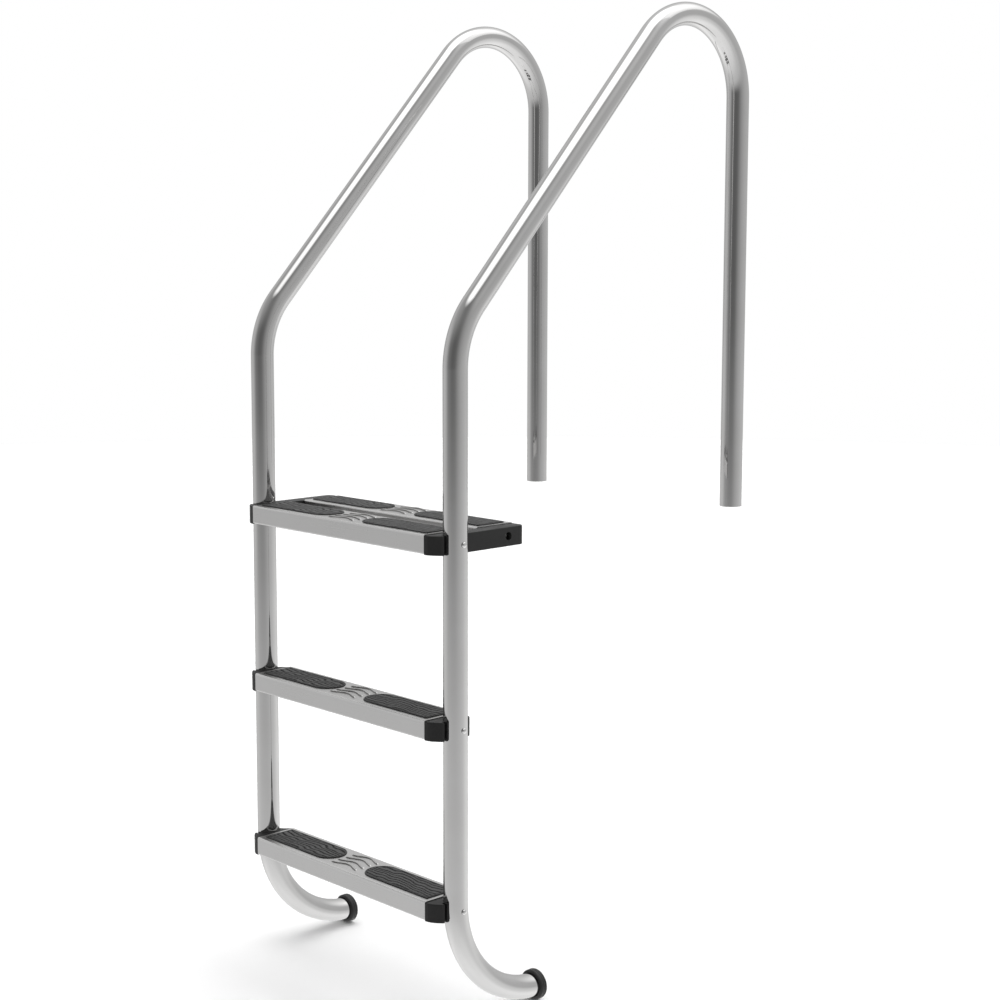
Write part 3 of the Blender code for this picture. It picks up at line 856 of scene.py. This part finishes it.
def satin_steel(name):
    """Folded sheet with a fine grain along its length."""
    m = Nodes(name)
    p = m.coords()
    grain = m.noise(p, 1.0, 5.0, 0.65, stretch=(14.0, 2600.0, 2600.0))
    haze = m.noise(p, 14.0, 4.0, 0.6)
    fold = m.t.nodes.new("ShaderNodeAttribute")
    fold.attribute_name = "burnish_and_painted_highlight"
    foot = m.t.nodes.new("ShaderNodeAttribute")
    foot.attribute_name = "painted_crease_shade"
    rough = m.math('ADD', m.remap(haze, 0.26, 0.32), m.remap(grain, -0.03, 0.06))
    rough = m.math('SUBTRACT', rough, m.math('MULTIPLY', fold.outputs["Fac"], 0.13))
    m.link(rough, m.bsdf.inputs["Roughness"])
    tone = m.math('ADD', m.math('MULTIPLY', grain, 0.35), m.math('MULTIPLY', haze, 0.65))
    # painted highlight: base colour paler along the top folds; the roughness drop above is the burnish
    tone = m.math('ADD', m.math('MULTIPLY', m.remap(tone, 0.0, 1.0, 0.32, 0.68), 0.12),
                  m.math('ADD', 0.60, m.math('MULTIPLY', fold.outputs["Fac"], 0.28)))
    # painted shade: base colour darkened towards black along the foot of each bar's wall
    painted_shade_amount = m.math('MULTIPLY', foot.outputs["Fac"], m.remap(haze, 0.54, 0.64))
    tone = m.math('SUBTRACT', tone, painted_shade_amount)
    m.link(m.colours(tone, [(0.0, grey(0.045, 0.06)), (0.60, grey(0.630, 0.008)), (0.72, grey(0.690, 0.005)),
                            (1.0, grey(0.84, 0.004))]), m.bsdf.inputs["Base Color"])
    m.bsdf.inputs["Metallic"].default_value = 1.0
    m.bsdf.inputs["Anisotropic"].default_value = 0.35
    m.bsdf.inputs["Specular Tint"].default_value = (0.75, 0.75, 0.75, 1.0)
    m.link(m.bump(grain, 0.000006), m.bsdf.inputs["Normal"])
    return m.mat


def bright_fixing(name):
    m = Nodes(name)
    p = m.coords()
    a = m.noise(p, 900.0, 3.0)
    b = m.noise(p, 160.0, 3.0)
    m.link(m.remap(b, 0.12, 0.24), m.bsdf.inputs["Roughness"])
    m.link(m.colours(a, [(0.3, grey(0.66, 0.006)), (0.7, grey(0.76, 0.004))]), m.bsdf.inputs["Base Color"])
    m.bsdf.inputs["Metallic"].default_value = 1.0
    m.link(m.bump(a, 0.00001), m.bsdf.inputs["Normal"])
    return m.mat


def black_plastic(name):
    """Moulded plastic with a fine spark-eroded texture and slightly paler, rubbed areas."""
    m = Nodes(name)
    p = m.coords()
    vor = m.t.nodes.new("ShaderNodeTexVoronoi")
    vor.inputs["Scale"].default_value = 1500.0
    m.link(p, vor.inputs["Vector"])
    fine = m.noise(p, 2400.0, 2.0)
    rub = m.noise(p, 24.0, 5.0, 0.62)
    m.link(m.remap(rub, 0.40, 0.56), m.bsdf.inputs["Roughness"])
    tone = m.math('ADD', m.math('MULTIPLY', rub, 0.7), m.math('MULTIPLY', fine, 0.3))
    m.link(m.colours(tone, [(0.30, grey(0.0085)), (0.75, grey(0.0150))]), m.bsdf.inputs["Base Color"])
    m.bsdf.inputs["Specular IOR Level"].default_value = 0.36
    h = m.math('ADD', vor.outputs["Distance"], m.math('MULTIPLY', fine, 0.6))
    m.link(m.bump(h, 0.00006, 0.8), m.bsdf.inputs["Normal"])
    return m.mat


def pad_rubber(name):
    """Charcoal non-slip compound: fine pebble, with a painted highlight: paler base colour on the ribs' crests, in
    patches.
    """
    m = Nodes(name)
    p = m.coords()
    peb = m.t.nodes.new("ShaderNodeTexVoronoi")
    peb.inputs["Scale"].default_value = 1100.0
    m.link(p, peb.inputs["Vector"])
    cloud = m.noise(p, 40.0, 5.0, 0.6)
    fine = m.noise(p, 1800.0, 2.0)
    at = m.t.nodes.new("ShaderNodeAttribute")
    at.attribute_name = "painted_crest_highlight"
    # painted highlight: patches of paler base colour on the rib tops
    painted_crest_highlight = m.math('MULTIPLY', at.outputs["Fac"], m.remap(cloud, 0.65, 1.0))
    tone = m.math('ADD', m.math('MULTIPLY', painted_crest_highlight, 0.7), m.math('MULTIPLY', fine, 0.3))
    m.link(m.colours(tone, [(0.12, grey(0.007)), (0.50, grey(0.030)), (0.95, grey(0.093))]), m.bsdf.inputs["Base Color"])
    m.link(m.remap(cloud, 0.50, 0.66), m.bsdf.inputs["Roughness"])
    m.bsdf.inputs["Specular IOR Level"].default_value = 0.40
    h = m.math('ADD', peb.outputs["Distance"], m.math('MULTIPLY', fine, 0.5))
    m.link(m.bump(h, 0.00010, 0.8), m.bsdf.inputs["Normal"])
    return m.mat


def bumper_rubber(name):
    m = Nodes(name)
    p = m.coords()
    fine = m.noise(p, 1500.0, 3.0)
    bloom = m.noise(p, 60.0, 5.0, 0.65)
    m.link(m.remap(bloom, 0.42, 0.60), m.bsdf.inputs["Roughness"])
    tone = m.math('ADD', m.math('MULTIPLY', bloom, 0.6), m.math('MULTIPLY', fine, 0.4))
    m.link(m.colours(tone, [(0.30, grey(0.015)), (0.72, grey(0.026))]), m.bsdf.inputs["Base Color"])
    m.bsdf.inputs["Specular IOR Level"].default_value = 0.45
    m.link(m.bump(fine, 0.00004, 0.7), m.bsdf.inputs["Normal"])
    return m.mat


def floor_material(name):
    m = Nodes(name)
    p = m.coords()
    a = m.noise(p, 3.0, 4.0, 0.6)
    m.link(m.colours(a, [(0.3, grey(0.915)), (0.7, grey(0.935))]), m.bsdf.inputs["Base Color"])
    m.bsdf.inputs["Roughness"].default_value = 0.9
    m.bsdf.inputs["Specular IOR Level"].default_value = 0.1
    return m.mat


RAIL_MAT = polished_steel("rail_steel_polished")
STEP_MAT = satin_steel("step_steel_satin")
FIX_MAT = bright_fixing("fixing_steel_bright")
PLASTIC = black_plastic("black_plastic_moulded")
PAD_MAT = pad_rubber("pad_rubber_charcoal")
BUMPER_MAT = bumper_rubber("bumper_rubber_black")


def finish_piece(o, mat, slot, *nodes):
    o.data.materials.clear()
    o.data.materials.append(mat)
    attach(o, "root")
    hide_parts(*nodes)
    return o


# ------------------------------------------------------------------ build the pieces
for s, k in SIDES.items():
    finish_piece(make_rail(s, k), RAIL_MAT, "rail_steel", "rail_" + s)
    finish_piece(make_bumper(s, k), BUMPER_MAT, "bumper_rubber", "bumper_" + s)
    o = make_moulding("side_plate_%s_moulding" % s, plate_outline(), k, s, STEP_Z["top"], (FRONT_Y, REAR_FRONT_Y),
                      ((STILE_Y, False), (STILE_Y + REAR_SCREW_Y, True)))
    finish_piece(o, PLASTIC, "black_plastic", "side_plate_" + s)
    for lab in ("middle", "bottom"):
        o = make_moulding("end_cap_%s_%s_moulding" % (lab, s), cap_outline(lab == "middle" and s == "right"), k, s,
                          STEP_Z[lab], (FRONT_Y,), ((STILE_Y, False),))
        finish_piece(o, PLASTIC, "black_plastic", "end_cap_%s_%s" % (lab, s))
    nut_mid = k * (NUT_X + NUT_T / 2)
    for lab in STEPS:
        zc = STEP_Z[lab] + SCREW_Z
        base = RAIL_X + TUBE_R + GAP
        o = make_screw("step_screw_%s_%s_button" % (lab, s), (k * base, STILE_Y, zc), k, 0.00475, 0.0030, base - NUT_X + 0.003, False)
        finish_piece(o, FIX_MAT, "fixing_steel", "step_screw_%s_%s" % (lab, s))
        finish_piece(make_nut("step_nut_%s_%s_hexagon" % (lab, s), nut_mid, STILE_Y, zc, k), FIX_MAT, "fixing_steel",
                     "step_nut_%s_%s" % (lab, s))
    base = CAP_OUT - RECESS_DEPTH + GAP
    yr = STILE_Y + REAR_SCREW_Y
    zc = STEP_Z["top"] + SCREW_Z
    finish_piece(make_screw("rear_step_screw_%s_button" % s, (k * base, yr, zc), k, 0.0055, 0.0034, base - NUT_X + 0.003, True),
                 FIX_MAT, "fixing_steel", "rear_step_screw_" + s)
    finish_piece(make_nut("rear_step_nut_%s_hexagon" % s, nut_mid, yr, zc, k), FIX_MAT, "fixing_steel", "rear_step_nut_" + s)

for lab in CHANNELS:
    finish_piece(make_channel(lab), STEP_MAT, "step_steel", "step_" + lab)
    for s, k in SIDES.items():
        o = make_pad(lab, s, k)
        me = o.data
        zt = CHANNELS[lab][0] + STEP_H
        co = np.zeros(len(me.vertices) * 3)
        me.vertices.foreach_get("co", co)
        # painted highlight mask: 1 on the pad's highest surface, the rib tops and border
        painted_crest_highlight = np.clip((co.reshape(-1, 3)[:, 2] - (zt + PAD_PROUD - 0.00045)) / 0.00040, 0, 1)
        at = me.attributes.new("painted_crest_highlight", 'FLOAT', 'POINT')
        at.data.foreach_set("value", painted_crest_highlight.astype(np.float32))
        finish_piece(o, PAD_MAT, "pad_rubber", "pad_%s_%s" % (lab, s))

# ------------------------------------------------------------------ floor, light, camera
floor_z = cad_lo.z - 0.0005
n = 96
ring = [(0.0, 0.0)]
R_FLOOR = 9.0
fv = [(0.0, 0.0, floor_z)]
ff = []
radii = [0.6, 1.5, 3.0, 5.5, R_FLOOR]
for r_ in radii:
    fv += [(r_ * math.cos(2 * math.pi * i / n), r_ * math.sin(2 * math.pi * i / n), floor_z) for i in range(n)]
for i in range(n):
    ff.append((0, 1 + i, 1 + (i + 1) % n))
for j in range(len(radii) - 1):
    a, b = 1 + j * n, 1 + (j + 1) * n
    for i in range(n):
        ff.append((a + i, b + i, b + (i + 1) % n, a + (i + 1) % n))
floor = new_object("studio_floor", fv, ff, None)
floor.data.materials.append(floor_material("studio_floor_pale"))
floor.visible_glossy = False      # the studio below the horizon comes from the world instead

scene = bpy.context.scene
world = bpy.data.worlds.new("soft_studio")
scene.world = world
world.use_nodes = True
wt = world.node_tree
wt.nodes.clear()


def wnode(kind, **kw):
    nd = wt.nodes.new(kind)
    for a, b in kw.items():
        setattr(nd, a, b)
    return nd


def wmath(op, a, b=None, c=None):
    m = wnode("ShaderNodeMath", operation=op)
    for i, v in enumerate((a, b, c)):
        if v is None:
            continue
        if isinstance(v, (int, float)):
            m.inputs[i].default_value = v
        else:
            wt.links.new(v, m.inputs[i])
    return m.outputs[0]


tc = wnode("ShaderNodeTexCoord")
sep = wnode("ShaderNodeSeparateXYZ")
wt.links.new(tc.outputs["Generated"], sep.inputs[0])
wx, wy, wz = sep.outputs
azimuth = wmath('ARCTAN2', wx, wy)
az01 = wmath('ADD', wmath('DIVIDE', azimuth, 2 * math.pi), 0.5)


def band(stops):
    """Brightness of the studio round the horizon: stops of (degrees from +Y towards +X, level)."""
    r = wnode("ShaderNodeValToRGB")
    r.color_ramp.interpolation = 'B_SPLINE'
    el = r.color_ramp.elements
    while len(el) < len(stops):
        el.new(0.5)
    for e, (deg, v) in zip(el, stops):
        e.position = (deg + 180.0) / 360.0
        e.color = (v / 2, v / 2, v / 2, 1.0)
    wt.links.new(az01, r.inputs["Fac"])
    return wmath('MULTIPLY', r.outputs["Color"], 2.0)


# dim on one side, mid grey walls beside it, a white backdrop behind the ladder
horizon = band([(-180, 0.19), (-165, 0.20), (-150, 0.34), (-136, 0.53), (-115, 0.64), (-85, 0.69), (-30, 0.82), (0, 0.70),
                (25, 0.59), (55, 0.54), (80, 0.465), (100, 0.38), (118, 0.27), (135, 0.16), (163, 0.13), (180, 0.19)])
upper = band([(-180, 0.30), (-150, 0.38), (-120, 0.44), (-105, 0.46), (-88, 0.74), (-60, 0.86), (-30, 0.90), (0, 1.20),
              (30, 1.45), (60, 0.92), (90, 0.52), (118, 0.25), (150, 0.21), (180, 0.30)])
low = band([(-180, 0.67), (-150, 0.69), (-118, 0.75), (-85, 0.92), (-30, 1.05), (0, 1.10), (20, 1.00), (42, 0.86),
            (60, 0.74), (90, 0.66), (120, 0.64), (150, 0.65), (180, 0.67)])
deep = band([(-180, 0.90), (-150, 0.99), (-118, 1.13), (-85, 1.30), (-30, 1.36), (0, 1.26), (30, 1.18), (60, 1.06),
             (90, 0.97), (120, 0.91), (150, 0.89), (180, 0.90)])


def ramp(lo, hi):
    m = wnode("ShaderNodeMapRange", interpolation_type='SMOOTHSTEP')
    m.inputs["From Min"].default_value = lo
    m.inputs["From Max"].default_value = hi
    wt.links.new(wz, m.inputs["Value"])
    return m.outputs["Result"]


def mix(f, a, b):
    return wmath('ADD', wmath('MULTIPLY', a, wmath('SUBTRACT', 1.0, f)), wmath('MULTIPLY', b, f))


level = mix(ramp(-0.98, -0.70), 1.06, deep)
level = mix(ramp(-0.75, -0.32), level, low)
level = mix(ramp(-0.36, 0.0), level, horizon)
level = mix(ramp(0.30, 0.74), level, upper)
level = mix(ramp(0.83, 0.95), level, 2.0)
lp = wnode("ShaderNodeLightPath")
level = wmath('MULTIPLY', level, wmath('ADD', 1.0, wmath('MULTIPLY', lp.outputs["Is Diffuse Ray"], 0.50)))
level = mix(lp.outputs["Is Camera Ray"], level, 1.0)
bg = wnode("ShaderNodeBackground")
bg.inputs["Color"].default_value = (1.0, 1.0, 1.0, 1.0)
wt.links.new(level, bg.inputs["Strength"])
out = wnode("ShaderNodeOutputWorld")
wt.links.new(bg.outputs[0], out.inputs["Surface"])


def area_light(name, place, aim, size_x, size_y, power):
    ld = bpy.data.lights.new(name, 'AREA')
    ld.shape = 'RECTANGLE'
    ld.size, ld.size_y = size_x, size_y
    ld.energy = power
    ob = bpy.data.objects.new(name, ld)
    scene.collection.objects.link(ob)
    ob.location = place
    ob.rotation_euler = (Vector(aim) - Vector(place)).to_track_quat('-Z', 'Y').to_euler()
    return ob


# one large softbox above and behind the ladder, to its right
area_light("softbox_over", (1.1, 1.9, 3.9), (0.0, 0.0, 0.9), 2.6, 2.6, 7.0)

cam_data = bpy.data.cameras.new("camera")
cam = bpy.data.objects.new("camera", cam_data)
scene.collection.objects.link(cam)
CAM_AT = Vector((2.37133, -2.29053, 1.27206))
az, el = math.radians(46.891), math.radians(7.1755)
right = Vector((math.cos(az), math.sin(az), 0.0))
back = Vector((math.sin(az) * math.cos(el), -math.cos(az) * math.cos(el), math.sin(el)))
up = back.cross(right)
rot = Matrix((right, up, back)).transposed()
cam.matrix_world = Matrix.Translation(CAM_AT) @ rot.to_4x4()
cam_data.sensor_width = 36.0
cam_data.sensor_fit = 'HORIZONTAL'
cam_data.lens = 1848.398 * 36.0 / 1000.0
cam_data.shift_x = (500.0 - 467.599) / 1000.0
cam_data.shift_y = (477.979 - 500.0) / 1000.0
cam_data.clip_start = 0.05
cam_data.clip_end = 100.0
scene.camera = cam

scene.view_settings.view_transform = 'Standard'
scene.view_settings.look = 'None'

bpy.context.view_layer.update()
